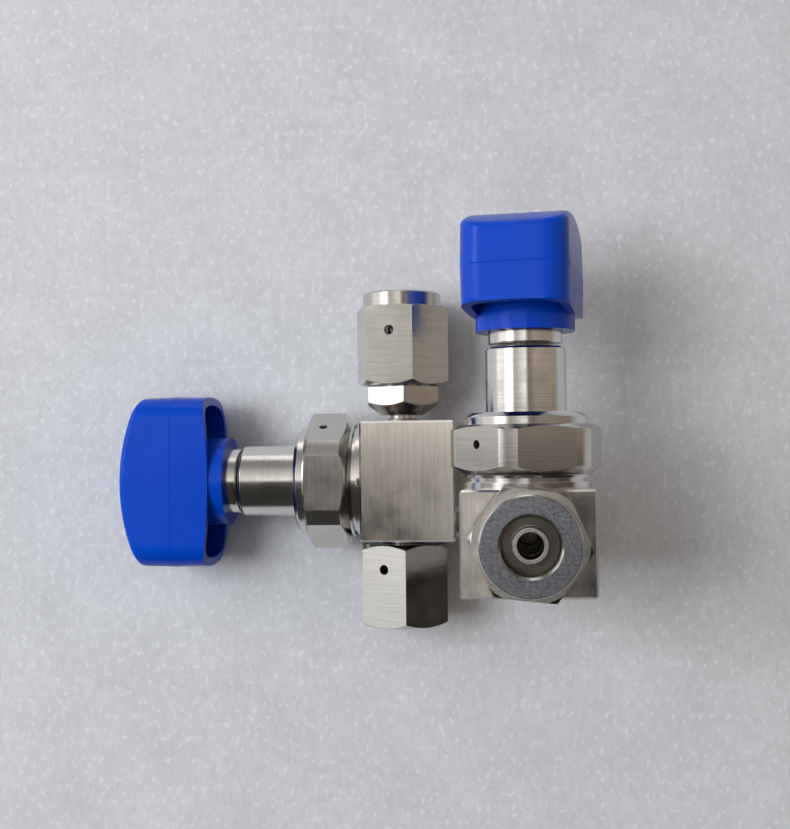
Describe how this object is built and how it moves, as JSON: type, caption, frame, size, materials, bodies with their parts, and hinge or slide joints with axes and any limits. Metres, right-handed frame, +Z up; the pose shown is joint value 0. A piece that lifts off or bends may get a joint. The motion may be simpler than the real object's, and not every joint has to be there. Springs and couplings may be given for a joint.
{
  "type": "diaphragm valve manifold",
  "caption": "Hand-operated quarter-turn diaphragm valves close-coupled by a tube elbow, with face seal fittings at inlet, outlet and purge port.",
  "frame": {"origin": "centre of the bounding box in X and Y, at its lowest point in Z", "axes": "+X from the lying valve's handle towards the standing-off valve, +Y along the main flow towards the outlet, +Z up, out of the purge port"},
  "size_m": [0.1074, 0.0874, 0.0858],
  "materials": {
    "machined_steel": "ground and lightly brushed stainless steel",
    "nut_steel": "milled and turned stainless steel, satin",
    "turned_steel": "fine turned stainless steel, nearly polished",
    "inner_steel": "polished stainless steel",
    "weld_steel": "autogenous weld, smooth",
    "handle_plastic": "glossy moulded nylon",
    "seal_plastic": "moulded fluoropolymer"
  },
  "bodies": {
    "manifold": {"left_body": "machined_steel", "left_seat": "seal_plastic", "left_diaphragm": "inner_steel", "left_bonnet": "turned_steel", "left_bonnet_nut": "nut_steel", "left_stem_bush": "seal_plastic", "right_body": "machined_steel", "right_seat": "seal_plastic", "right_diaphragm": "inner_steel", "right_bonnet": "turned_steel", "right_bonnet_nut": "nut_steel", "right_stem_bush": "seal_plastic", "outlet_gland": "machined_steel", "outlet_male_nut": "nut_steel", "outlet_gasket": "inner_steel", "outlet_tube_gland": "machined_steel", "purge_gland": "machined_steel", "purge_male_nut": "nut_steel", "purge_gasket": "inner_steel", "purge_tube_gland": "machined_steel", "inlet_gland": "machined_steel", "elbow": "machined_steel", "weld_beads": "weld_steel"},
    "left_actuator": {"left_stem": "inner_steel", "left_drive_collar": "turned_steel", "left_handle": "handle_plastic", "left_handle_screw": "inner_steel"},
    "left_thrust": {"left_button": "inner_steel"},
    "right_actuator": {"right_stem": "inner_steel", "right_drive_collar": "turned_steel", "right_handle": "handle_plastic", "right_handle_screw": "inner_steel"},
    "right_thrust": {"right_button": "inner_steel"},
    "outlet_union_nut": {"outlet_female_nut": "nut_steel"},
    "purge_union_nut": {"purge_female_nut": "nut_steel"},
    "inlet_coupling_nut": {"inlet_nut": "nut_steel"}
  },
  "joints": [
    {"name": "left_handle_turn", "type": "hinge", "parent": "manifold", "child": "left_actuator", "pos_m": [0.01044, -0.0108, 0.01439], "axis": [1, 0, 0], "range_deg": [0, 90]},
    {"name": "left_button_press", "type": "slide", "parent": "manifold", "child": "left_thrust", "axis": [1, 0, 0], "range_m": [0, 0.00075], "deforming": ["left_diaphragm"]},
    {"name": "right_handle_turn", "type": "hinge", "parent": "manifold", "child": "right_actuator", "pos_m": [0.03834, -0.0204, 0.04309], "axis": [0, -1, 0], "range_deg": [-8, 82]},
    {"name": "right_button_press", "type": "slide", "parent": "manifold", "child": "right_thrust", "axis": [0, -1, 0], "range_m": [-0.000066667, 0.00068333], "deforming": ["right_diaphragm"]},
    {"name": "outlet_nut_spin", "type": "hinge", "parent": "manifold", "child": "outlet_union_nut", "pos_m": [0.01044, 0.0025, 0.01439], "axis": [0, 1, 0], "continuous": true},
    {"name": "purge_nut_spin", "type": "hinge", "parent": "manifold", "child": "purge_union_nut", "pos_m": [0.03834, -0.0204, 0.05639], "axis": [0, 0, 1], "continuous": true},
    {"name": "inlet_nut_spin", "type": "hinge", "parent": "manifold", "child": "inlet_coupling_nut", "pos_m": [0.01044, -0.0241, 0.01439], "axis": [0, -1, 0], "continuous": true}
  ],
  "couplings": [
    {"joint": "left_button_press", "follows": "left_handle_turn", "m_per_rad": 0.00047746},
    {"joint": "right_button_press", "follows": "right_handle_turn", "m_per_rad": 0.00047746}
  ]
}
